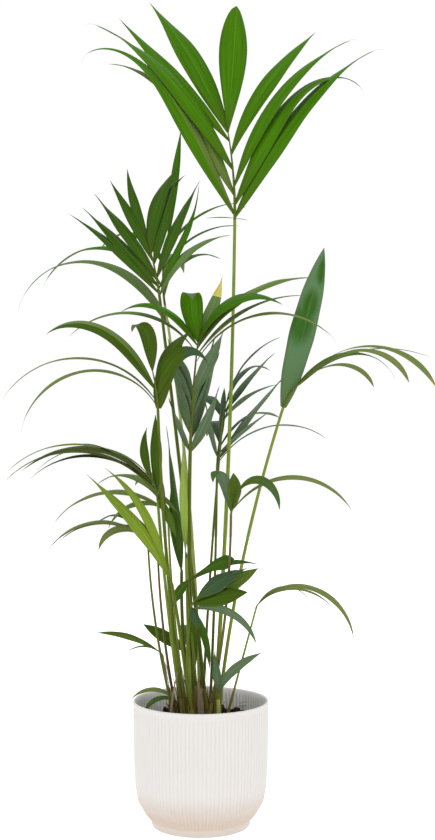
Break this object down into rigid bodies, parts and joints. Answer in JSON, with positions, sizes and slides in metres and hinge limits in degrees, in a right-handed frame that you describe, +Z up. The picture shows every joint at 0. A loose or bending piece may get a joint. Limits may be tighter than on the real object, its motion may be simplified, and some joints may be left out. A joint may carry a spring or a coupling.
{
  "type": "potted kentia palm",
  "caption": "Slender young kentia palm with tall petioles and arching pinnate fronds in a round off-white ribbed plastic pot that narrows to a flat foot.",
  "frame": {"origin": "centre of the pot's flat underside, on the surface that the pot stands on", "axes": "+Z up along the pot's axis; +X to the right and -Y towards the viewer, as the palm is seen from its front"},
  "size_m": [0.6935, 0.479, 1.345],
  "materials": {
    "pot_plastic": "matt off-white moulded plastic with fine upright ribs",
    "potting_mix": "dark coarse peat and bark mix",
    "petiole": "smooth yellow-green stalk, brownish towards its base",
    "leaf": "deep green satin leaf",
    "young_leaf": "young yellow-green satin leaf",
    "dry_sheath": "papery dry brown leaf sheath"
  },
  "bodies": {
    "root": {"pot": "pot_plastic", "potting_mix": "potting_mix", "petiole_crown": "petiole", "petiole_left_high": "petiole", "petiole_left_back": "petiole", "petiole_centre": "petiole", "petiole_left_mid": "petiole", "petiole_left_low": "petiole", "petiole_young": "petiole", "petiole_low_left_a": "petiole", "petiole_low_left_b": "petiole", "petiole_low_left_c": "petiole", "petiole_right_high": "petiole", "petiole_mid_back": "petiole", "petiole_mid_back_b": "petiole", "petiole_mid_front": "petiole", "petiole_low_front": "petiole", "petiole_low_centre": "petiole", "petiole_low_right": "petiole", "petiole_small_left": "petiole", "petiole_small_back": "petiole", "petiole_small_right": "petiole", "petiole_rim_left": "petiole", "petiole_inner_dark": "petiole", "petiole_inner_pale": "petiole", "frond_crown": "leaf", "frond_left_high": "leaf", "frond_left_back": "leaf", "frond_centre": "leaf", "frond_left_mid": "leaf", "frond_left_low": "leaf", "frond_young": "young_leaf", "frond_low_left_a": "leaf", "frond_low_left_b": "leaf", "frond_low_left_c": "leaf", "frond_right_high": "leaf", "frond_mid_back": "leaf", "frond_mid_back_b": "leaf", "frond_mid_front": "leaf", "frond_low_front": "leaf", "frond_low_centre": "leaf", "frond_low_right": "leaf", "frond_small_left": "leaf", "frond_small_back": "leaf", "frond_small_right": "leaf", "frond_rim_left": "leaf", "frond_inner_dark": "leaf", "frond_inner_pale": "young_leaf", "dry_sheath_1": "dry_sheath", "dry_sheath_2": "dry_sheath"}
  },
  "joints": []
}
